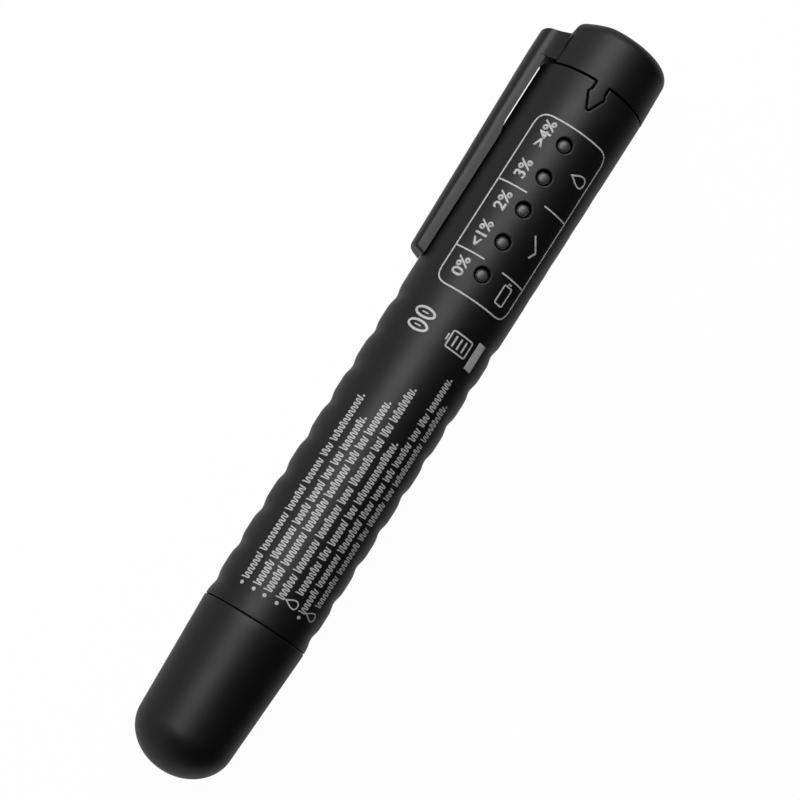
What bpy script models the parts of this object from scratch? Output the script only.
"""Brake fluid test pen, lying on a table on its end cap, its protective cap and its clip.

The pen is modelled along its own X axis, from the tip of the protective cap at X = 0
to the end cap that is pressed to switch it on. Its lamps face +Z and its clip is on +Y.
At the end the whole pen is turned about, so that its probes point to +X, rolled until
the clip meets the table, and put with the middle of its underside at the origin.
All lengths are in metres.
"""
import math

import bmesh
import bpy
import numpy as np
from mathutils import Matrix, Vector

# Shared clearances and mesh fineness
CLEARANCE = 0.0003
OVERRUN = 0.002
MERGE_DISTANCE = 0.000001
ROUND_SEGMENTS = 40
SMALL_SEGMENTS = 16
COIL_STEPS = 10
SHARP_ANGLE = math.radians(32)

# Lengths along the pen, from the tip of the protective cap
CAP_LENGTH = 0.0303
LOWER_SEAM = 0.0004
BARREL_LENGTH = 0.1165
UPPER_SEAM = 0.0004
END_CAP_LENGTH = 0.0109
BARREL_START = CAP_LENGTH + LOWER_SEAM
BARREL_END = BARREL_START + BARREL_LENGTH
END_CAP_START = BARREL_END + UPPER_SEAM
PEN_LENGTH = END_CAP_START + END_CAP_LENGTH

# Protective cap
DOME_LENGTH = 0.0078
DOME_RADIUS = 0.0094
CAP_MOUTH_RADIUS = 0.01045
CAP_WALL = 0.0016
CAP_BORE_RADIUS = 0.0089
CAP_GRIP_LENGTH = 0.0082
CAP_STEP_LENGTH = 0.0012
CAP_EDGE = 0.0003
DOME_STEPS = 7
INNER_DOME_STEPS = 5

# Barrel
BARREL_START_RADIUS = 0.0103
BARREL_END_RADIUS = 0.01085
BARREL_EDGE = 0.0003
LOWER_BORE_RADIUS = 0.0082
BATTERY_BORE_RADIUS = 0.0088

# Finger grip on the barrel's back: grooves that fade out before the printed front
GRIP_PITCH_SHARE = 0.0661
LOWER_GRIP_START_SHARE = 0.0257
UPPER_GRIP_START_SHARE = 0.6652
GRIP_PITCH = BARREL_LENGTH * GRIP_PITCH_SHARE
GRIP_DEPTH = 0.0004
LOWER_GRIP_OFFSET = BARREL_LENGTH * LOWER_GRIP_START_SHARE
LOWER_GRIP_COUNT = 9
LOWER_GRIP_FADE = (math.radians(52), math.radians(84))
UPPER_GRIP_OFFSET = BARREL_LENGTH * UPPER_GRIP_START_SHARE
UPPER_GRIP_COUNT = 4
UPPER_GRIP_FADE = (math.radians(76), math.radians(104))
GRIP_SHARPNESS = 6
LOWER_GROOVE_SHARES = (-0.3, -0.13, 0.0, 0.13, 0.3)
UPPER_GROOVE_SHARES = (-0.2, 0.0, 0.2)

# Lamps and their holes
LAMP_NAMES = ("led_green", "led_yellow_1", "led_yellow_2", "led_red_1", "led_red_2")
LAMP_PITCH = 0.00715
LAST_LAMP_TO_BARREL_END = 0.0134
LAMP_HOLE_RADIUS = 0.00155
LENS_RADIUS = 0.00125
LAMP_FLANGE_RADIUS = 0.0015
LAMP_FLANGE_HEIGHT = 0.0008
LAMP_RECESS = 0.0005
LAMP_STEPS = 4
SPACER_WIDTH = 0.0056
SPACER_THICKNESS = 0.0020
SPACER_MARGIN = 0.0019

# End cap, its arrow-shaped tab and its press stem
END_CAP_RADIUS = 0.01088
END_CAP_TOP_RADIUS = 0.01060
END_CAP_ROUNDING = 0.0035
END_CAP_BORE_RADIUS = 0.0088
CROWN_THICKNESS = 0.0018
PRESS_TRAVEL = 0.0003
TAB_LENGTH = 0.0060
TAB_NECK_LENGTH = 0.0017
TAB_BARB_DROP = 0.0008
TAB_NECK_WIDTH = 0.0019
TAB_HEAD_WIDTH = 0.0032
TAB_GAP = 0.0005
TAB_THICKNESS = 0.0015
TAB_ROOT = 0.0015
STEM_RADIUS = 0.0011
SPRING_PIN_RADIUS = 0.0019
SPRING_PIN_LENGTH = 0.0040
CORNER_STEPS = 6

# Insert that snaps into the barrel's top
INSERT_DEPTH = 0.0062
INSERT_WALL = 0.0012
INSERT_FLOOR = 0.0015
INSERT_REACH = 0.0052
SPRING_POST_RADIUS = 0.0034
STEM_WINDOW_WIDTH = 0.0036

# Return spring
RETURN_SPRING_LENGTH = 0.0058
RETURN_SPRING_RADIUS = 0.0028
RETURN_SPRING_WIRE = 0.0003
RETURN_SPRING_TURNS = 5

# Pocket clip: station 0 is its tip, and its root stands on the end cap's side
CLIP_ARM_LENGTH = 0.0436
CLIP_ROOT_LENGTH = 0.0056
CLIP_ROOT_OUT = 0.0145
CLIP_TIP_OUT = 0.0134
CLIP_ROOT_IN = 0.0113
CLIP_TIP_GAP = 0.0003
CLIP_ARM_WIDTH = 0.0076
CLIP_TIP_WIDTH = 0.0068
CLIP_WALL_HEIGHT = 0.0016
CLIP_BASE_WIDTH = 0.0120
CLIP_BLEND = 0.0003
CLIP_TIP_ROUNDING = 0.0015
CLIP_LIP_LENGTH = 0.0030
CLIP_LIP_LIFT = 0.0005
CLIP_TOP_EDGE = 0.0004
FOOT_LENGTH = 0.0036
FOOT_WIDTH = 0.0048
FOOT_DEPTH = 0.0015
CLIP_TIP_SHARES = (0.0, 0.25, 0.6, 1.0)
CLIP_ARM_SHARES = (0.35, 0.7, 1.0)
CLIP_TIP_NARROW_SHARE = 0.25
ARCH_POINTS = 9
BASE_POINTS = 7

# Nose holder and probe pins
NOSE_TIP_STATION = 0.0160
NOSE_TIP_RADIUS = 0.0046
NOSE_CONE_LENGTH = 0.0052
NOSE_CONE_RADIUS = 0.0074
NOSE_LEAD_IN = 0.0012
NOSE_PLUG_LENGTH = 0.0130
PIN_RADIUS = 0.0010
PIN_SPACING = 0.0052
PIN_TIP_STATION = 0.0050
PIN_COLLAR_RADIUS = 0.0016
PIN_COLLAR_LENGTH = 0.0010
PIN_TAIL_RADIUS = 0.0006
PIN_TAIL_LENGTH = 0.0022
PIN_TIP_STEPS = 3

# Wires from the pins to the board
WIRE_RADIUS = 0.0005
WIRE_STRAIGHT = 0.0020
WIRE_REACH = 0.0090
WIRE_POINTS = 12

# Battery cell, its contacts and its spring
BATTERY_RADIUS = 0.00525
BATTERY_LENGTH = 0.0445
NUB_RADIUS = 0.0019
NUB_LENGTH = 0.0010
BATTERY_EDGE = 0.0004
CONTACT_THICKNESS = 0.0003
CONTACT_WIDTH = 0.0050
CONTACT_DROP = 0.0026
LEAF_LENGTH = 0.0030
BATTERY_SPRING_LENGTH = 0.0058
BATTERY_SPRING_BASE_RADIUS = 0.0034
BATTERY_SPRING_TOP_RADIUS = 0.0022
BATTERY_SPRING_WIRE = 0.00025
BATTERY_SPRING_TURNS = 4

# Cradle and circuit board
CRADLE_WALL = 0.0040
CRADLE_RAIL_WIDTH = 0.0017
CRADLE_RAIL_DROP = 0.0008
BOARD_THICKNESS = 0.0012
NOSE_TO_BOARD = 0.0050
BOARD_WIDTH = 0.0142
BOARD_NECK_WIDTH = 0.0120
SCREW_SPACING = 0.0080
SCREW_RADIUS = 0.0008
SCREW_HEAD_RADIUS = 0.0015
SCREW_HEAD_HEIGHT = 0.0010
SCREW_GRIP = 0.0040
SCREW_SLOT_WIDTH = 0.0004
SCREW_SLOT_DEPTH = 0.0004

# Parts on the board
SWITCH_LENGTH = 0.0042
SWITCH_WIDTH = 0.0040
SWITCH_HEIGHT = 0.0030
PLUNGER_RADIUS = 0.0007
PLUNGER_OUT = 0.0014
PLUNGER_IN = 0.0012
CHIP_LENGTH = 0.0050
CHIP_WIDTH = 0.0062
CHIP_HEIGHT = 0.0016
CHIP_TO_CRADLE = 0.0060
RESISTOR_LENGTH = 0.0020
RESISTOR_WIDTH = 0.0013
RESISTOR_HEIGHT = 0.0006
RESISTOR_PITCH = 0.0024
CAPACITOR_LENGTH = 0.0032
CAPACITOR_WIDTH = 0.0026
CAPACITOR_HEIGHT = 0.0018
PARTS_SPACING = 0.0022

# Stations worked out along the pen, from the top end down
INSERT_START = BARREL_END - INSERT_DEPTH
POSITIVE_PLATE_START = INSERT_START - CLEARANCE - CONTACT_THICKNESS
BATTERY_END = POSITIVE_PLATE_START - CLEARANCE
BATTERY_START = BATTERY_END - BATTERY_LENGTH
NEGATIVE_PLATE_START = BATTERY_START - 2 * CLEARANCE - BATTERY_SPRING_LENGTH - CONTACT_THICKNESS
CRADLE_WALL_START = NEGATIVE_PLATE_START - CLEARANCE - CRADLE_WALL
LEDGE_STATION = CRADLE_WALL_START - CLEARANCE
BOARD_END = INSERT_START - CLEARANCE
NOSE_END = BARREL_START + NOSE_PLUG_LENGTH
BOARD_START = NOSE_END + NOSE_TO_BOARD
LAST_LAMP = BARREL_END - LAST_LAMP_TO_BARREL_END
LAMP_STATIONS = [LAST_LAMP - LAMP_PITCH * step for step in reversed(range(len(LAMP_NAMES)))]

# Heights worked out across the pen, from the battery up to the lamps
BATTERY_HEIGHT = BATTERY_RADIUS + CLEARANCE - BATTERY_BORE_RADIUS
BATTERY_TOP = BATTERY_HEIGHT + BATTERY_RADIUS
LEAF_BOTTOM = BATTERY_TOP + CLEARANCE
BOARD_BOTTOM = LEAF_BOTTOM + CONTACT_THICKNESS + CLEARANCE
BOARD_TOP = BOARD_BOTTOM + BOARD_THICKNESS
PART_BASE = BOARD_TOP + CLEARANCE
SPACER_BASE = PART_BASE + LAMP_FLANGE_HEIGHT + CLEARANCE
STEM_HEIGHT = PART_BASE + SWITCH_HEIGHT / 2
PLUNGER_TIP = BOARD_END + PLUNGER_OUT

# Finishes: colour, roughness, metallic
FINISHES = {
    "black_shell": ((0.022, 0.022, 0.023), 0.46, 0.0),
    "black_clip": ((0.024, 0.024, 0.025), 0.42, 0.0),
    "black_inner": ((0.035, 0.035, 0.037), 0.55, 0.0),
    "smoked_lens": ((0.16, 0.16, 0.17), 0.18, 0.0),
    "nickel": ((0.72, 0.70, 0.66), 0.22, 1.0),
    "spring_steel": ((0.58, 0.58, 0.60), 0.30, 1.0),
    "board_green": ((0.03, 0.17, 0.07), 0.42, 0.0),
    "chip_black": ((0.03, 0.03, 0.03), 0.5, 0.0),
    "cell_sleeve": ((0.10, 0.16, 0.30), 0.32, 0.3),
    "red_wire": ((0.45, 0.03, 0.03), 0.45, 0.0),
    "blue_wire": ((0.03, 0.07, 0.35), 0.45, 0.0),
    "ceramic_tan": ((0.42, 0.33, 0.22), 0.5, 0.0),
}


def clear_scene():
    """Remove every object that the new file holds."""
    for thing in list(bpy.data.objects):
        bpy.data.objects.remove(thing, do_unlink=True)


def finish_material(name):
    """Return the named finish as a Principled material, made once."""
    material = bpy.data.materials.get(name)
    if material is None:
        colour, roughness, metallic = FINISHES[name]
        material = bpy.data.materials.new(name)
        material.use_nodes = True
        shader = material.node_tree.nodes["Principled BSDF"]
        shader.inputs["Base Color"].default_value = (*colour, 1.0)
        shader.inputs["Roughness"].default_value = roughness
        shader.inputs["Metallic"].default_value = metallic
    return material


def frame_empty(name, parent=None, location=(0.0, 0.0, 0.0)):
    """Make an empty that carries a moving group, on its joint's axis."""
    empty = bpy.data.objects.new(name, None)
    bpy.context.collection.objects.link(empty)
    empty.parent = parent
    empty.location = location
    return empty


def make_object(name, mesh_builder, finish, parent, origin=(0.0, 0.0, 0.0)):
    """Turn built geometry into a named, smooth-shaded object whose origin lies at the given place."""
    bmesh.ops.translate(mesh_builder, verts=mesh_builder.verts, vec=-Vector(origin))
    mesh = bpy.data.meshes.new(name)
    mesh_builder.to_mesh(mesh)
    mesh_builder.free()
    mesh.shade_smooth()
    mesh.set_sharp_from_angle(angle=SHARP_ANGLE)
    thing = bpy.data.objects.new(name, mesh)
    bpy.context.collection.objects.link(thing)
    thing.parent = parent
    thing.location = origin
    if finish:
        mesh.materials.append(finish_material(finish))
    return thing


def tidy(mesh_builder):
    """Merge coincident points and point every face outwards."""
    bmesh.ops.remove_doubles(mesh_builder, verts=mesh_builder.verts, dist=MERGE_DISTANCE)
    bmesh.ops.recalc_face_normals(mesh_builder, faces=mesh_builder.faces)
    return mesh_builder


def turned(profile, segments=ROUND_SEGMENTS, centre=(0.0, 0.0)):
    """Spin a profile of (station, radius) points about a line along X through (y, z) = centre."""
    mesh_builder = bmesh.new()
    across, height = centre
    points = [mesh_builder.verts.new((station, across, height + radius)) for station, radius in profile]
    edges = [mesh_builder.edges.new(pair) for pair in zip(points, points[1:])]
    if profile[0][1] > 0 or profile[-1][1] > 0:
        edges.append(mesh_builder.edges.new((points[-1], points[0])))
    bmesh.ops.spin(
        mesh_builder,
        geom=points + edges,
        cent=(0.0, across, height),
        axis=(1.0, 0.0, 0.0),
        angle=math.tau,
        steps=segments,
    )
    return tidy(mesh_builder)


def turned_upright(profile, place, segments=SMALL_SEGMENTS):
    """Spin a profile of (height, radius) points about a line along Z through (x, y) = place."""
    mesh_builder = turned(profile, segments)
    upright = Matrix.Translation((place[0], place[1], 0.0)) @ Matrix.Rotation(-math.pi / 2, 4, "Y")
    bmesh.ops.transform(mesh_builder, matrix=upright, verts=mesh_builder.verts)
    return mesh_builder


def block(low, high):
    """Make a box between two corners."""
    mesh_builder = bmesh.new()
    bmesh.ops.create_cube(mesh_builder, size=1.0)
    size = [top - bottom for bottom, top in zip(low, high)]
    middle = [(top + bottom) / 2 for bottom, top in zip(low, high)]
    placing = Matrix.Translation(middle) @ Matrix.Diagonal((*size, 1.0))
    bmesh.ops.transform(mesh_builder, matrix=placing, verts=mesh_builder.verts)
    return mesh_builder


def prism(outline, low, high, axis="Z"):
    """Extrude a closed outline of 2D points along Z, or along Y, between two levels."""
    mesh_builder = bmesh.new()
    if axis == "Z":
        points = [mesh_builder.verts.new((first, second, low)) for first, second in outline]
        sweep = (0.0, 0.0, high - low)
    else:
        points = [mesh_builder.verts.new((first, low, second)) for first, second in outline]
        sweep = (0.0, high - low, 0.0)
    face = mesh_builder.faces.new(points)
    grown = bmesh.ops.extrude_face_region(mesh_builder, geom=[face])
    moved = [item for item in grown["geom"] if isinstance(item, bmesh.types.BMVert)]
    bmesh.ops.translate(mesh_builder, verts=moved, vec=sweep)
    bmesh.ops.recalc_face_normals(mesh_builder, faces=mesh_builder.faces)
    return mesh_builder


def ring_loft(rings, closed_lengthwise=False):
    """Skin a row of rings of equal point count; open rows get a face over each end."""
    mesh_builder = bmesh.new()
    rows = [[mesh_builder.verts.new(point) for point in ring] for ring in rings]
    count = len(rows[0])
    pairs = list(zip(rows, rows[1:]))
    if closed_lengthwise:
        pairs.append((rows[-1], rows[0]))
    for first, second in pairs:
        for index in range(count):
            after = (index + 1) % count
            mesh_builder.faces.new((first[index], first[after], second[after], second[index]))
    if not closed_lengthwise:
        mesh_builder.faces.new(rows[0])
        mesh_builder.faces.new(rows[-1])
    return tidy(mesh_builder)


def use_cutter(target, name, mesh_builder, operation="DIFFERENCE"):
    """Apply a shape to a target with a live Boolean; the shape itself is only a guide."""
    guide = make_object(name, mesh_builder, None, target.parent)
    guide.hide_render = True
    guide.display_type = "WIRE"
    boolean = target.modifiers.new(name, "BOOLEAN")
    boolean.operation = operation
    boolean.solver = "EXACT"
    boolean.object = guide
    return guide


def arc_points(centre, radii, start, end, steps):
    """Points of an elliptic arc: centre plus (radii * cosine, radii * sine) of the angle."""
    angles = np.linspace(start, end, steps + 1)
    return [
        (centre[0] + radii[0] * math.cos(angle), centre[1] + radii[1] * math.sin(angle))
        for angle in angles
    ]


def barrel_radius(station):
    """Outer radius of the barrel's plain taper at a station."""
    share = (station - BARREL_START) / BARREL_LENGTH
    return BARREL_START_RADIUS + (BARREL_END_RADIUS - BARREL_START_RADIUS) * share


def cap_radius(station):
    """Outer radius of the protective cap's plain taper at a station."""
    share = (station - DOME_LENGTH) / (CAP_LENGTH - DOME_LENGTH)
    return DOME_RADIUS + (CAP_MOUTH_RADIUS - DOME_RADIUS) * share


def end_cap_radius(station):
    """Outer radius of the end cap's side at a station, before its top rounding."""
    side_length = END_CAP_LENGTH - END_CAP_ROUNDING
    share = (station - END_CAP_START) / side_length
    return END_CAP_RADIUS + (END_CAP_TOP_RADIUS - END_CAP_RADIUS) * share


def smooth_rise(value, limits):
    """Rise from 0 to 1 between the limits along 3 t^2 - 2 t^3."""
    share = np.clip((value - limits[0]) / (limits[1] - limits[0]), 0.0, 1.0)
    return share * share * (3.0 - 2.0 * share)


def grip_depth(station, angles):
    """Depth of the grip grooves: an even power of a cosine along X, faded towards the lamps."""
    depth = np.zeros_like(angles)
    groups = (
        (LOWER_GRIP_OFFSET, LOWER_GRIP_COUNT, LOWER_GRIP_FADE),
        (UPPER_GRIP_OFFSET, UPPER_GRIP_COUNT, UPPER_GRIP_FADE),
    )
    for offset, count, fade in groups:
        turns = (station - BARREL_START - offset) / GRIP_PITCH
        if -0.5 <= turns <= count - 0.5:
            groove = math.cos(math.pi * turns) ** GRIP_SHARPNESS
            depth = depth + GRIP_DEPTH * groove * smooth_rise(np.abs(angles), fade)
    return depth


def round_ring(station, radii, angles):
    """One ring of points about the pen's axis; angle 0 is the lamps' side, +90 degrees the clip's."""
    return np.stack(
        (np.full_like(angles, station), radii * np.sin(angles), radii * np.cos(angles)),
        axis=1,
    )


def barrel_stations():
    """Stations of the barrel's outer rings: edges, plain stretches and each groove."""
    stations = [BARREL_START, BARREL_START + BARREL_EDGE, BARREL_END - BARREL_EDGE, BARREL_END]
    groups = (
        (LOWER_GRIP_OFFSET, LOWER_GRIP_COUNT, LOWER_GROOVE_SHARES),
        (UPPER_GRIP_OFFSET, UPPER_GRIP_COUNT, UPPER_GROOVE_SHARES),
    )
    for offset, count, shares in groups:
        for index in range(count):
            middle = BARREL_START + offset + GRIP_PITCH * index
            stations.extend(middle + GRIP_PITCH * share for share in shares)
    return sorted(stations)


def make_barrel(parent):
    """Tapered tube with grip grooves, two bores, lamp holes and the arrow-shaped notch."""
    angles = np.linspace(-math.pi, math.pi, ROUND_SEGMENTS, endpoint=False)
    rings = []
    for station in barrel_stations():
        at_end = station in (BARREL_START, BARREL_END)
        radius = barrel_radius(station) - (BARREL_EDGE if at_end else 0.0)
        rings.append(round_ring(station, radius - grip_depth(station, angles), angles))
    plain = np.ones_like(angles)
    bore = (
        (BARREL_END, BATTERY_BORE_RADIUS),
        (LEDGE_STATION, BATTERY_BORE_RADIUS),
        (LEDGE_STATION, LOWER_BORE_RADIUS),
        (BARREL_START, LOWER_BORE_RADIUS),
    )
    rings.extend(round_ring(station, radius * plain, angles) for station, radius in bore)
    barrel = make_object("barrel", ring_loft(rings, True), "black_shell", parent)
    for name, station in zip(LAMP_NAMES, LAMP_STATIONS):
        hole = [
            (0.0, 0.0),
            (0.0, LAMP_HOLE_RADIUS),
            (BARREL_END_RADIUS + OVERRUN, LAMP_HOLE_RADIUS),
            (BARREL_END_RADIUS + OVERRUN, 0.0),
        ]
        use_cutter(barrel, f"{name}_hole", turned_upright(hole, (station, 0.0)))
    notch = prism(arrow_outline(TAB_GAP), 0.0, BARREL_END_RADIUS + OVERRUN)
    use_cutter(barrel, "arrow_notch", notch)
    return barrel


def arrow_outline(grow):
    """Outline of the end cap's arrow-shaped tab in (station, across), grown by a gap all round."""
    neck = TAB_NECK_WIDTH / 2 + grow
    head = TAB_HEAD_WIDTH / 2 + grow
    shoulder = END_CAP_START - TAB_NECK_LENGTH
    head_length = TAB_LENGTH - TAB_NECK_LENGTH - TAB_BARB_DROP
    half_angle = math.atan2(TAB_HEAD_WIDTH / 2, head_length)
    tip = END_CAP_START - TAB_LENGTH - grow / math.sin(half_angle)
    barb = tip + head / math.tan(half_angle)
    root = END_CAP_START + (TAB_ROOT if grow == 0 else OVERRUN)
    one_side = [(root, neck), (shoulder, neck), (barb, head)]
    other_side = [(station, -across) for station, across in reversed(one_side)]
    return one_side + [(tip, 0.0)] + other_side


def make_protective_cap(parent):
    """Domed cap: elliptic dome, tapered side and a stepped bore."""
    inner_dome = (DOME_LENGTH - CAP_WALL, cap_radius(DOME_LENGTH) - CAP_WALL)
    outside = arc_points((DOME_LENGTH, 0.0), (DOME_LENGTH, DOME_RADIUS), math.pi, math.pi / 2, DOME_STEPS)
    inside = arc_points((DOME_LENGTH, 0.0), inner_dome, math.pi / 2, math.pi, INNER_DOME_STEPS)
    grip_end = CAP_LENGTH - CAP_GRIP_LENGTH
    step_start = grip_end - CAP_STEP_LENGTH
    mouth = [
        (CAP_LENGTH - CAP_EDGE, cap_radius(CAP_LENGTH)),
        (CAP_LENGTH, cap_radius(CAP_LENGTH) - CAP_EDGE),
        (CAP_LENGTH, CAP_BORE_RADIUS),
        (grip_end, CAP_BORE_RADIUS),
        (step_start, cap_radius(step_start) - CAP_WALL),
    ]
    profile = outside + mouth + inside
    profile[0] = (0.0, 0.0)
    profile[-1] = (CAP_WALL, 0.0)
    return make_object("protective_cap", turned(profile), "black_shell", parent)


def make_nose(parent):
    """Insulating nose: cone, spigot for the cap and plug inside the barrel, bored for two pins."""
    spigot = CAP_BORE_RADIUS - CLEARANCE
    plug = LOWER_BORE_RADIUS - CLEARANCE
    cone_end = NOSE_TIP_STATION + NOSE_CONE_LENGTH
    shoulder = BARREL_START - CLEARANCE
    profile = [
        (NOSE_TIP_STATION, 0.0),
        (NOSE_TIP_STATION, NOSE_TIP_RADIUS),
        (cone_end, NOSE_CONE_RADIUS),
        (cone_end + NOSE_LEAD_IN, spigot),
        (shoulder, spigot),
        (shoulder, plug),
        (NOSE_END, plug),
        (NOSE_END, 0.0),
    ]
    nose = make_object("nose_holder", turned(profile), "black_inner", parent)
    hole_radius = PIN_RADIUS + CLEARANCE
    for index, across in enumerate((PIN_SPACING / 2, -PIN_SPACING / 2), 1):
        hole = [
            (NOSE_TIP_STATION - OVERRUN, 0.0),
            (NOSE_TIP_STATION - OVERRUN, hole_radius),
            (NOSE_END + OVERRUN, hole_radius),
            (NOSE_END + OVERRUN, 0.0),
        ]
        use_cutter(nose, f"pin_bore_{index}", turned(hole, SMALL_SEGMENTS, (across, 0.0)))
        make_pin(index, across, parent)
        make_wire(index, across, parent)
    return nose


def make_pin(index, across, parent):
    """Probe pin: rounded tip, long shank, collar behind the nose and a thin solder tail."""
    collar_start = NOSE_END + CLEARANCE
    collar_end = collar_start + PIN_COLLAR_LENGTH
    tip = arc_points(
        (PIN_TIP_STATION + PIN_RADIUS, 0.0), (PIN_RADIUS, PIN_RADIUS), math.pi, math.pi / 2, PIN_TIP_STEPS
    )
    profile = tip + [
        (collar_start, PIN_RADIUS),
        (collar_start, PIN_COLLAR_RADIUS),
        (collar_end, PIN_COLLAR_RADIUS),
        (collar_end, PIN_TAIL_RADIUS),
        (collar_end + PIN_TAIL_LENGTH, PIN_TAIL_RADIUS),
        (collar_end + PIN_TAIL_LENGTH, 0.0),
    ]
    profile[0] = (PIN_TIP_STATION, 0.0)
    mesh_builder = turned(profile, SMALL_SEGMENTS, (across, 0.0))
    return make_object(f"probe_pin_{index}", mesh_builder, "nickel", parent)


def tube_along(name, points, radius, finish, parent, fineness):
    """Round tube along points, as a bevelled poly curve with filled ends."""
    curve = bpy.data.curves.new(name, "CURVE")
    curve.dimensions = "3D"
    curve.bevel_depth = radius
    curve.bevel_resolution = fineness
    curve.use_fill_caps = True
    spline = curve.splines.new("POLY")
    spline.points.add(len(points) - 1)
    for target, place in zip(spline.points, points):
        target.co = (*place, 1.0)
    curve.materials.append(finish_material(finish))
    tube = bpy.data.objects.new(name, curve)
    bpy.context.collection.objects.link(tube)
    tube.parent = parent
    return tube


def make_wire(index, across, parent):
    """Wire from a pin's tail up to the underside of the board, along a half wave of a cosine."""
    tail_end = NOSE_END + CLEARANCE + PIN_COLLAR_LENGTH + PIN_TAIL_LENGTH
    start = tail_end + CLEARANCE
    rise_start = start + WIRE_STRAIGHT
    top = BOARD_BOTTOM - CLEARANCE - WIRE_RADIUS
    shares = np.linspace(0.0, 1.0, WIRE_POINTS)
    stations = rise_start + (WIRE_REACH - 2 * WIRE_STRAIGHT) * shares
    heights = top * (1 - np.cos(math.pi * shares)) / 2
    points = [(start, across, 0.0)]
    points += [(station, across, height) for station, height in zip(stations, heights)]
    points.append((start + WIRE_REACH, across, top))
    finish = "red_wire" if index == 1 else "blue_wire"
    return tube_along(f"probe_wire_{index}", points, WIRE_RADIUS, finish, parent, 1)


def coil_points(start, length, radii, turns, centre_height):
    """Points of a coil along X whose radius changes steadily from one end to the other."""
    shares = np.linspace(0.0, 1.0, turns * COIL_STEPS + 1)
    angles = math.tau * turns * shares
    radius = radii[0] + (radii[1] - radii[0]) * shares
    return np.stack(
        (start + length * shares, radius * np.sin(angles), centre_height + radius * np.cos(angles)),
        axis=1,
    )


def least_gap(points, radius):
    """Least clear distance between one turn of a coil and the rest, past half a turn away."""
    apart = np.linalg.norm(points[:, None, :] - points[None, :, :], axis=2)
    order = np.arange(len(points))
    near = np.abs(order[:, None] - order[None, :]) < COIL_STEPS // 2
    apart[near] = np.inf
    return apart.min() - 2 * radius


def make_spring(name, start, length, radii, wire, turns, height, parent):
    """Coil spring as one tube whose ends stay inside its stated length."""
    points = coil_points(start + wire, length - 2 * wire, radii, turns, height)
    print(f"{name}: least gap between turns {least_gap(points, wire):.5f} m")
    return tube_along(name, [tuple(point) for point in points], wire, "spring_steel", parent, 1)


def make_battery(parent):
    """Cylindrical cell with its raised nub towards the end cap."""
    shoulder = BATTERY_END - NUB_LENGTH
    profile = [
        (BATTERY_START, 0.0),
        (BATTERY_START, BATTERY_RADIUS - BATTERY_EDGE),
        (BATTERY_START + BATTERY_EDGE, BATTERY_RADIUS),
        (shoulder - BATTERY_EDGE, BATTERY_RADIUS),
        (shoulder, BATTERY_RADIUS - BATTERY_EDGE),
        (shoulder, NUB_RADIUS),
        (BATTERY_END, NUB_RADIUS),
        (BATTERY_END, 0.0),
    ]
    mesh_builder = turned(profile, ROUND_SEGMENTS, (0.0, BATTERY_HEIGHT))
    return make_object("battery_cell", mesh_builder, "cell_sleeve", parent)


def make_contact(name, plate_start, leaf_direction, parent):
    """Bent metal contact: an upright plate on the battery's line and a leaf under the board."""
    plate_end = plate_start + CONTACT_THICKNESS
    leaf_top = LEAF_BOTTOM + CONTACT_THICKNESS
    bottom = BATTERY_HEIGHT - CONTACT_DROP
    if leaf_direction > 0:
        leaf_end = plate_end + LEAF_LENGTH
        outline = [
            (plate_start, bottom),
            (plate_end, bottom),
            (plate_end, LEAF_BOTTOM),
            (leaf_end, LEAF_BOTTOM),
            (leaf_end, leaf_top),
            (plate_start, leaf_top),
        ]
    else:
        leaf_end = plate_start - LEAF_LENGTH
        outline = [
            (plate_end, bottom),
            (plate_end, leaf_top),
            (leaf_end, leaf_top),
            (leaf_end, LEAF_BOTTOM),
            (plate_start, LEAF_BOTTOM),
            (plate_start, bottom),
        ]
    mesh_builder = prism(outline, -CONTACT_WIDTH / 2, CONTACT_WIDTH / 2, "Y")
    return make_object(name, mesh_builder, "spring_steel", parent)


def make_cradle(parent):
    """Moulded frame: a wall across the bore and two rails beside the battery under the board."""
    wall_end = CRADLE_WALL_START + CRADLE_WALL
    radius = BATTERY_BORE_RADIUS - CLEARANCE
    profile = [
        (CRADLE_WALL_START, 0.0),
        (CRADLE_WALL_START, radius),
        (wall_end, radius),
        (wall_end, 0.0),
    ]
    cradle = make_object("battery_cradle", turned(profile), "black_inner", parent)
    top = BOARD_BOTTOM - CLEARANCE
    above = block(
        (CRADLE_WALL_START - OVERRUN, -radius - OVERRUN, top),
        (wall_end + OVERRUN, radius + OVERRUN, radius + OVERRUN),
    )
    use_cutter(cradle, "cradle_wall_top", above)
    inner = BATTERY_RADIUS + CLEARANCE
    outer = inner + CRADLE_RAIL_WIDTH
    bottom = BATTERY_HEIGHT - CRADLE_RAIL_DROP
    for name, side in (("left", 1), ("right", -1)):
        low_side, high_side = sorted((side * inner, side * outer))
        rail = block(
            (wall_end - CRADLE_WALL / 2, low_side, bottom),
            (BATTERY_END - NUB_LENGTH, high_side, top),
        )
        use_cutter(cradle, f"cradle_rail_{name}", rail, "UNION")
    for index, across in enumerate((SCREW_SPACING / 2, -SCREW_SPACING / 2), 1):
        hole = screw_hole(top - SCREW_GRIP, top + OVERRUN)
        use_cutter(cradle, f"cradle_screw_hole_{index}", turned_upright(hole, (screw_station(), across)))
    return cradle


def screw_station():
    """The board's screws stand in the middle of the cradle's wall."""
    return CRADLE_WALL_START + CRADLE_WALL / 2


def screw_hole(low, high):
    """Profile of a hole for a board screw between two heights."""
    radius = SCREW_RADIUS + CLEARANCE
    return [(low, 0.0), (low, radius), (high, radius), (high, 0.0)]


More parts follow.
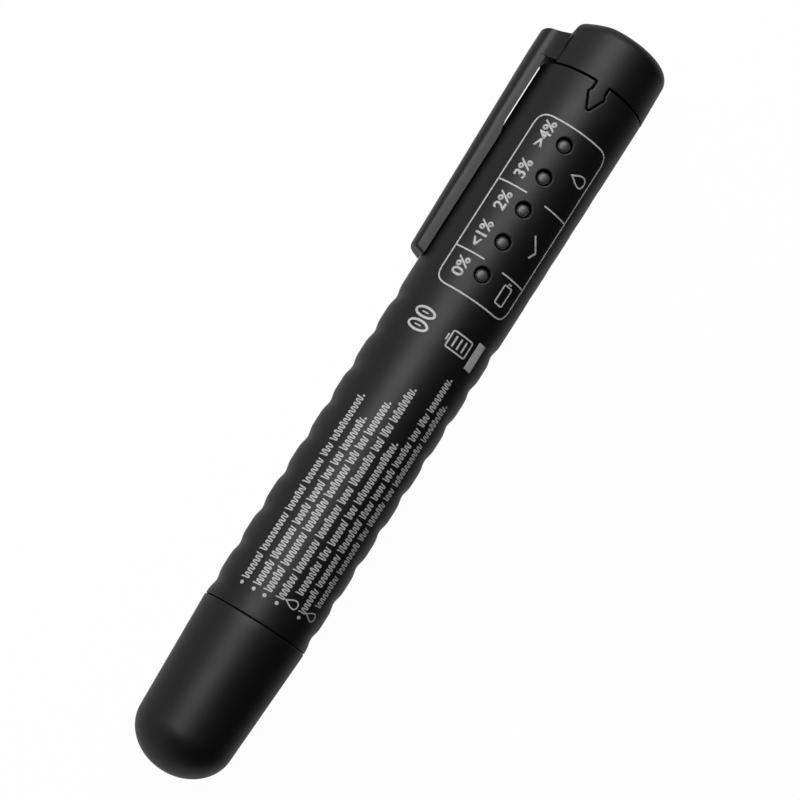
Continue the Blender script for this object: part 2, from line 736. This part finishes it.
def make_screws(parent):
    """Two slotted screws that hold the board on the cradle."""
    head_base = BOARD_TOP + CLEARANCE
    head_top = head_base + SCREW_HEAD_HEIGHT
    shank_end = BOARD_BOTTOM - SCREW_GRIP
    for index, across in enumerate((SCREW_SPACING / 2, -SCREW_SPACING / 2), 1):
        profile = [
            (shank_end, 0.0),
            (shank_end, SCREW_RADIUS),
            (head_base, SCREW_RADIUS),
            (head_base, SCREW_HEAD_RADIUS),
            (head_top, SCREW_HEAD_RADIUS),
            (head_top, 0.0),
        ]
        place = (screw_station(), across)
        screw = make_object(f"board_screw_{index}", turned_upright(profile, place), "nickel", parent)
        slot = block(
            (place[0] - OVERRUN, across - SCREW_SLOT_WIDTH / 2, head_top - SCREW_SLOT_DEPTH),
            (place[0] + OVERRUN, across + SCREW_SLOT_WIDTH / 2, head_top + OVERRUN),
        )
        use_cutter(screw, f"screw_slot_{index}", slot)


def make_board(parent):
    """Long board, narrower in the barrel's lower bore, with two screw holes."""
    neck_end = LEDGE_STATION + CLEARANCE
    wide = BOARD_WIDTH / 2
    narrow = BOARD_NECK_WIDTH / 2
    outline = [
        (BOARD_START, -narrow),
        (neck_end, -narrow),
        (neck_end, -wide),
        (BOARD_END, -wide),
        (BOARD_END, wide),
        (neck_end, wide),
        (neck_end, narrow),
        (BOARD_START, narrow),
    ]
    board = make_object("circuit_board", prism(outline, BOARD_BOTTOM, BOARD_TOP), "board_green", parent)
    for index, across in enumerate((SCREW_SPACING / 2, -SCREW_SPACING / 2), 1):
        hole = screw_hole(BOARD_BOTTOM - OVERRUN, BOARD_TOP + OVERRUN)
        use_cutter(board, f"board_screw_hole_{index}", turned_upright(hole, (screw_station(), across)))
    return board


def board_block(name, station, across, size, finish, parent):
    """A small part that stands on the board, centred at (station, across)."""
    length, width, height = size
    low = (station - length / 2, across - width / 2, PART_BASE)
    high = (station + length / 2, across + width / 2, PART_BASE + height)
    mesh_builder = block(low, high)
    return make_object(name, mesh_builder, finish, parent)


def make_board_parts(parent):
    """Chip, supply capacitor and a row of five resistors, on the board below the lamps."""
    chip_station = CRADLE_WALL_START - CHIP_TO_CRADLE
    chip_size = (CHIP_LENGTH, CHIP_WIDTH, CHIP_HEIGHT)
    board_block("controller_chip", chip_station, 0.0, chip_size, "chip_black", parent)
    capacitor_station = chip_station - CHIP_LENGTH / 2 - PARTS_SPACING - CAPACITOR_LENGTH / 2
    capacitor_size = (CAPACITOR_LENGTH, CAPACITOR_WIDTH, CAPACITOR_HEIGHT)
    board_block("supply_capacitor", capacitor_station, 0.0, capacitor_size, "ceramic_tan", parent)
    resistor_station = CRADLE_WALL_START + CRADLE_WALL + PARTS_SPACING
    resistor_size = (RESISTOR_LENGTH, RESISTOR_WIDTH, RESISTOR_HEIGHT)
    for index in range(len(LAMP_NAMES)):
        across = RESISTOR_PITCH * (index - (len(LAMP_NAMES) - 1) / 2)
        name = f"lamp_resistor_{index + 1}"
        board_block(name, resistor_station, across, resistor_size, "chip_black", parent)


def make_lamps(parent):
    """Five lamps with a flange on the board and a lens in its hole, and the strip that lines them up."""
    for name, station in zip(LAMP_NAMES, LAMP_STATIONS):
        top = barrel_radius(station) - LAMP_RECESS
        dome_base = top - LENS_RADIUS
        dome = arc_points((dome_base, 0.0), (LENS_RADIUS, LENS_RADIUS), math.pi / 2, 0.0, LAMP_STEPS)
        profile = [
            (PART_BASE, 0.0),
            (PART_BASE, LAMP_FLANGE_RADIUS),
            (PART_BASE + LAMP_FLANGE_HEIGHT, LAMP_FLANGE_RADIUS),
            (PART_BASE + LAMP_FLANGE_HEIGHT, LENS_RADIUS),
        ] + dome
        profile[-1] = (top, 0.0)
        make_object(name, turned_upright(profile, (station, 0.0)), "smoked_lens", parent)
    low = (LAMP_STATIONS[0] - SPACER_MARGIN, -SPACER_WIDTH / 2, SPACER_BASE)
    high = (LAMP_STATIONS[-1] + SPACER_MARGIN, SPACER_WIDTH / 2, SPACER_BASE + SPACER_THICKNESS)
    spacer = make_object("led_spacer", block(low, high), "black_inner", parent)
    for name, station in zip(LAMP_NAMES, LAMP_STATIONS):
        hole = [
            (SPACER_BASE - OVERRUN, 0.0),
            (SPACER_BASE - OVERRUN, LENS_RADIUS + CLEARANCE),
            (SPACER_BASE + SPACER_THICKNESS + OVERRUN, LENS_RADIUS + CLEARANCE),
            (SPACER_BASE + SPACER_THICKNESS + OVERRUN, 0.0),
        ]
        use_cutter(spacer, f"{name}_spacer_hole", turned_upright(hole, (station, 0.0)))


def make_switch(parent, plunger_parent):
    """Small switch at the board's end with a plunger that the end cap's stem pushes in."""
    switch_size = (SWITCH_LENGTH, SWITCH_WIDTH, SWITCH_HEIGHT)
    middle = BOARD_END - SWITCH_LENGTH / 2
    body = board_block("switch_body", middle, 0.0, switch_size, "chip_black", parent)
    bore_radius = PLUNGER_RADIUS + CLEARANCE
    bore_start = BOARD_END - PLUNGER_IN - PRESS_TRAVEL - CLEARANCE
    bore = [
        (bore_start, 0.0),
        (bore_start, bore_radius),
        (BOARD_END + OVERRUN, bore_radius),
        (BOARD_END + OVERRUN, 0.0),
    ]
    use_cutter(body, "plunger_bore", turned(bore, SMALL_SEGMENTS, (0.0, STEM_HEIGHT)))
    profile = [
        (BOARD_END - PLUNGER_IN, 0.0),
        (BOARD_END - PLUNGER_IN, PLUNGER_RADIUS),
        (PLUNGER_TIP, PLUNGER_RADIUS),
        (PLUNGER_TIP, 0.0),
    ]
    mesh_builder = turned(profile, SMALL_SEGMENTS, (0.0, STEM_HEIGHT))
    origin = (PLUNGER_TIP, 0.0, STEM_HEIGHT)
    return make_object("switch_plunger", mesh_builder, "nickel", plunger_parent, origin)


def crown_inner():
    """Station of the end cap's inner crown face."""
    return PEN_LENGTH - CROWN_THICKNESS


def post_end():
    """Station of the top of the insert's spring post."""
    return crown_inner() - 2 * CLEARANCE - RETURN_SPRING_LENGTH


def make_insert(parent):
    """Insert: a cup in the barrel's top with a post for the return spring and a window for the stem."""
    outer = BATTERY_BORE_RADIUS - CLEARANCE
    inner = outer - INSERT_WALL
    floor_top = INSERT_START + INSERT_FLOOR
    reach = BARREL_END + INSERT_REACH
    profile = [
        (INSERT_START, 0.0),
        (INSERT_START, outer),
        (reach, outer),
        (reach, inner),
        (floor_top, inner),
        (floor_top, SPRING_POST_RADIUS),
        (post_end(), SPRING_POST_RADIUS),
        (post_end(), 0.0),
    ]
    insert = make_object("cap_insert", turned(profile), "black_inner", parent)
    window = block(
        (INSERT_START - OVERRUN, -STEM_WINDOW_WIDTH / 2, SPRING_POST_RADIUS + CLEARANCE),
        (floor_top + OVERRUN, STEM_WINDOW_WIDTH / 2, inner),
    )
    use_cutter(insert, "stem_window", window)
    bore = [
        (post_end() - SPRING_PIN_LENGTH, 0.0),
        (post_end() - SPRING_PIN_LENGTH, SPRING_PIN_RADIUS + CLEARANCE),
        (post_end() + OVERRUN, SPRING_PIN_RADIUS + CLEARANCE),
        (post_end() + OVERRUN, 0.0),
    ]
    use_cutter(insert, "spring_pin_bore", turned(bore, SMALL_SEGMENTS))
    make_contact("positive_contact", POSITIVE_PLATE_START, -1, parent)
    radii = (RETURN_SPRING_RADIUS, RETURN_SPRING_RADIUS)
    start = post_end() + CLEARANCE
    make_spring(
        "return_spring",
        start,
        RETURN_SPRING_LENGTH,
        radii,
        RETURN_SPRING_WIRE,
        RETURN_SPRING_TURNS,
        0.0,
        parent,
    )
    return insert


def make_end_cap(parent):
    """Press cap: rounded shell with the arrow tab, the press stem and the spring pin."""
    rounding_start = PEN_LENGTH - END_CAP_ROUNDING
    corner_centre = (rounding_start, END_CAP_TOP_RADIUS - END_CAP_ROUNDING)
    rounding = (END_CAP_ROUNDING, END_CAP_ROUNDING)
    corner = arc_points(corner_centre, rounding, math.pi / 2, 0.0, CORNER_STEPS)
    pin_end = crown_inner() - SPRING_PIN_LENGTH - CLEARANCE
    inner_rounding = END_CAP_ROUNDING - CROWN_THICKNESS
    profile = [
        (crown_inner(), END_CAP_BORE_RADIUS - inner_rounding),
        (crown_inner() - inner_rounding, END_CAP_BORE_RADIUS),
        (END_CAP_START, END_CAP_BORE_RADIUS),
        (END_CAP_START, END_CAP_RADIUS - BARREL_EDGE),
        (END_CAP_START + BARREL_EDGE, end_cap_radius(END_CAP_START + BARREL_EDGE)),
    ]
    profile += corner
    profile.append((PEN_LENGTH, 0.0))
    profile = [(pin_end, 0.0), (pin_end, SPRING_PIN_RADIUS), (crown_inner(), SPRING_PIN_RADIUS)] + profile
    shell = make_object("end_cap", turned(profile), "black_shell", parent)
    tongue_out = barrel_radius(BARREL_END)
    tongue_profile = [
        (END_CAP_START - TAB_LENGTH - OVERRUN, tongue_out - TAB_THICKNESS),
        (END_CAP_START - TAB_LENGTH - OVERRUN, barrel_radius(END_CAP_START - TAB_LENGTH)),
        (BARREL_END, tongue_out),
        (END_CAP_START + TAB_ROOT + OVERRUN, tongue_out),
        (END_CAP_START + TAB_ROOT + OVERRUN, tongue_out - TAB_THICKNESS),
    ]
    tongue = use_cutter(shell, "arrow_tongue", turned(tongue_profile), "UNION")
    tongue_shape = prism(arrow_outline(0.0), 0.0, BARREL_END_RADIUS + OVERRUN)
    use_cutter(tongue, "arrow_shape", tongue_shape, "INTERSECT")
    stem_end = PLUNGER_TIP + CLEARANCE
    stem = [
        (stem_end, 0.0),
        (stem_end, STEM_RADIUS),
        (crown_inner() + CROWN_THICKNESS / 2, STEM_RADIUS),
        (crown_inner() + CROWN_THICKNESS / 2, 0.0),
    ]
    use_cutter(shell, "press_stem", turned(stem, SMALL_SEGMENTS, (0.0, STEM_HEIGHT)), "UNION")
    middle = foot_station()
    slot_length = FOOT_LENGTH / 2 + CLEARANCE
    slot_width = FOOT_WIDTH / 2 + CLEARANCE
    slot = block(
        (middle - slot_length, END_CAP_BORE_RADIUS - OVERRUN, -slot_width),
        (middle + slot_length, END_CAP_RADIUS + OVERRUN, slot_width),
    )
    use_cutter(shell, "clip_slot", slot)
    return shell


def foot_station():
    """The clip's foot stands under the middle of its root."""
    return END_CAP_START + CLIP_BLEND + CLIP_ROOT_LENGTH / 2


def clip_outline(station):
    """Inner height, outer height and half width of the clip's arm at a station."""
    tip = END_CAP_START - CLIP_ARM_LENGTH
    share = (station - tip) / CLIP_ARM_LENGTH
    tip_in = barrel_radius(tip) + CLIP_TIP_GAP
    inner = tip_in + (CLIP_ROOT_IN - tip_in) * share
    outer = CLIP_TIP_OUT + (CLIP_ROOT_OUT - CLIP_TIP_OUT) * min(share, 1.0)
    half = (CLIP_TIP_WIDTH + (CLIP_ARM_WIDTH - CLIP_TIP_WIDTH) * min(share, 1.0)) / 2
    return inner, outer, half


def clip_ring(station, base_share, top_drop=0.0, lift=0.0, narrow=1.0):
    """One ring of the clip: base curve, side walls and arched back, blended from arm to root."""
    inner, outer, half = clip_outline(station)
    half = half * narrow
    inner = inner + lift
    outer = outer - top_drop
    wall_top = min(inner + CLIP_WALL_HEIGHT, outer - CLIP_LIP_LIFT)
    seat = END_CAP_RADIUS + CLEARANCE
    base_half = half + (CLIP_BASE_WIDTH / 2 - half) * base_share
    ring = []
    for share in np.linspace(-1.0, 1.0, BASE_POINTS):
        across = base_half * share
        seated = math.sqrt(seat * seat - across * across)
        ring.append((station, inner + (seated - inner) * base_share, across))
    for angle in np.linspace(0.0, math.pi, ARCH_POINTS):
        across = half * math.cos(angle)
        height = wall_top + (outer - wall_top) * math.sin(angle)
        ring.append((station, height, across))
    return ring


def clip_rings():
    """Rings of the clip from its tip to the top of its root."""
    tip = END_CAP_START - CLIP_ARM_LENGTH
    arm_end = END_CAP_START
    root_start = END_CAP_START + CLIP_BLEND
    root_end = root_start + CLIP_ROOT_LENGTH
    full_drop = CLIP_TIP_OUT - clip_outline(tip)[0] - CLIP_LIP_LIFT - CLIP_WALL_HEIGHT / 2
    rings = []
    for share in CLIP_TIP_SHARES:
        station = tip + CLIP_TIP_ROUNDING * share
        fall = 1.0 - math.sqrt(1.0 - (1.0 - share) ** 2)
        lift = CLIP_LIP_LIFT * (1.0 - (station - tip) / CLIP_LIP_LENGTH)
        narrow = 1.0 - CLIP_TIP_NARROW_SHARE * fall
        rings.append(clip_ring(station, 0.0, full_drop * fall, lift, narrow))
    lip_end = tip + CLIP_LIP_LENGTH
    rings.append(clip_ring(lip_end, 0.0))
    for share in CLIP_ARM_SHARES:
        rings.append(clip_ring(lip_end + (arm_end - lip_end) * share, 0.0))
    rings.append(clip_ring(root_start, 1.0))
    rings.append(clip_ring((root_start + root_end) / 2, 1.0))
    rings.append(clip_ring(root_end - CLIP_TOP_EDGE, 1.0))
    rings.append(clip_ring(root_end, 1.0, CLIP_TOP_EDGE))
    return np.array(rings)


def make_clip(parent, rings):
    """Pocket clip: tapered arm, flared root on the end cap's side and a foot in its slot."""
    hinge = (foot_station(), END_CAP_RADIUS, 0.0)
    clip = make_object("pocket_clip", ring_loft(rings), "black_clip", parent, hinge)
    middle = foot_station()
    foot = block(
        (middle - FOOT_LENGTH / 2, END_CAP_RADIUS - FOOT_DEPTH, -FOOT_WIDTH / 2),
        (middle + FOOT_LENGTH / 2, END_CAP_RADIUS + FOOT_DEPTH, FOOT_WIDTH / 2),
    )
    use_cutter(clip, "clip_foot", foot, "UNION")
    return clip


def resting_roll(rings):
    """Angle that the pen rolls from lamps-up until the clip's lowest point meets the table."""
    across = rings[..., 1].ravel()
    height = rings[..., 2].ravel()
    reach = np.hypot(across, height)
    beyond = reach > END_CAP_RADIUS
    above_down = np.arctan2(across[beyond], -height[beyond])
    touch = np.arccos(END_CAP_RADIUS / reach[beyond])
    return float((above_down - touch).min())


def stand_on_table(pen, rings):
    """Turn the probes to +X, roll onto the clip and centre the underside on the origin."""
    roll = resting_roll(rings)
    turning = Matrix.Rotation(math.pi, 3, "Z") @ Matrix.Rotation(-roll, 3, "X")
    clip_points = rings.reshape(-1, 3) @ np.array(turning).T
    front = min(clip_points[:, 1].min(), -END_CAP_RADIUS)
    pen.rotation_euler = (-roll, 0.0, math.pi)
    pen.location = (PEN_LENGTH / 2, -(front + END_CAP_RADIUS) / 2, END_CAP_RADIUS)
    return roll


def build_pen():
    """Build every piece under the pen's frame, each moving group under an empty of its own."""
    clear_scene()
    pen = frame_empty("pen_frame")
    cap_slide = frame_empty("protective_cap_slide", pen)
    insert_slide = frame_empty("insert_slide", pen)
    press_slide = frame_empty("press_slide", insert_slide)
    plunger_slide = frame_empty("plunger_slide", pen)
    make_barrel(pen)
    make_nose(pen)
    make_protective_cap(cap_slide)
    make_cradle(pen)
    make_board(pen)
    make_screws(pen)
    make_board_parts(pen)
    make_lamps(pen)
    make_switch(pen, plunger_slide)
    make_battery(pen)
    make_contact("negative_contact", NEGATIVE_PLATE_START, 1, pen)
    spring_start = NEGATIVE_PLATE_START + CONTACT_THICKNESS + CLEARANCE
    radii = (BATTERY_SPRING_BASE_RADIUS, BATTERY_SPRING_TOP_RADIUS)
    make_spring(
        "negative_spring",
        spring_start,
        BATTERY_SPRING_LENGTH,
        radii,
        BATTERY_SPRING_WIRE,
        BATTERY_SPRING_TURNS,
        BATTERY_HEIGHT,
        pen,
    )
    make_insert(insert_slide)
    make_end_cap(press_slide)
    rings = clip_rings()
    make_clip(press_slide, rings)
    roll = stand_on_table(pen, rings)
    bpy.context.view_layer.update()
    print(f"pen length {1000 * PEN_LENGTH:.2f} mm, resting roll {math.degrees(roll):.2f} degrees")


build_pen()
